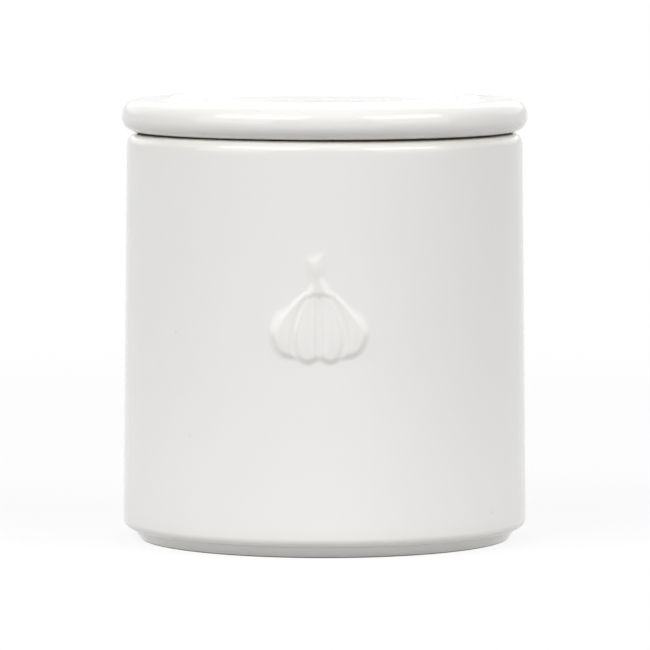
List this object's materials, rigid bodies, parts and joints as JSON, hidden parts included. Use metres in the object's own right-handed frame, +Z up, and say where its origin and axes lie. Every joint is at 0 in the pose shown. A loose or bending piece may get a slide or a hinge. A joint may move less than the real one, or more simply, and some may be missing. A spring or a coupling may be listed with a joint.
{
  "type": "garlic keeper",
  "caption": "Round glazed stoneware jar with a raised garlic bulb on its front, air holes at the back and a flat lift-off lid with a rounded edge and low concentric beads.",
  "frame": {"origin": "centre of the face that the jar stands on, on the table plane", "axes": "+Z up along the axis of the jar and lid, the raised bulb faces -Y and the air holes face +Y"},
  "size_m": [0.108, 0.1082, 0.1175],
  "materials": {
    "white_glaze": "glossy white glaze over fired clay"
  },
  "bodies": {
    "jar": {"jar": "white_glaze"},
    "lid": {"lid": "white_glaze"}
  },
  "joints": [
    {"name": "lid_lift", "type": "slide", "parent": "jar", "child": "lid", "axis": [0, 0, 1], "range_m": [0, 0.12]}
  ]
}
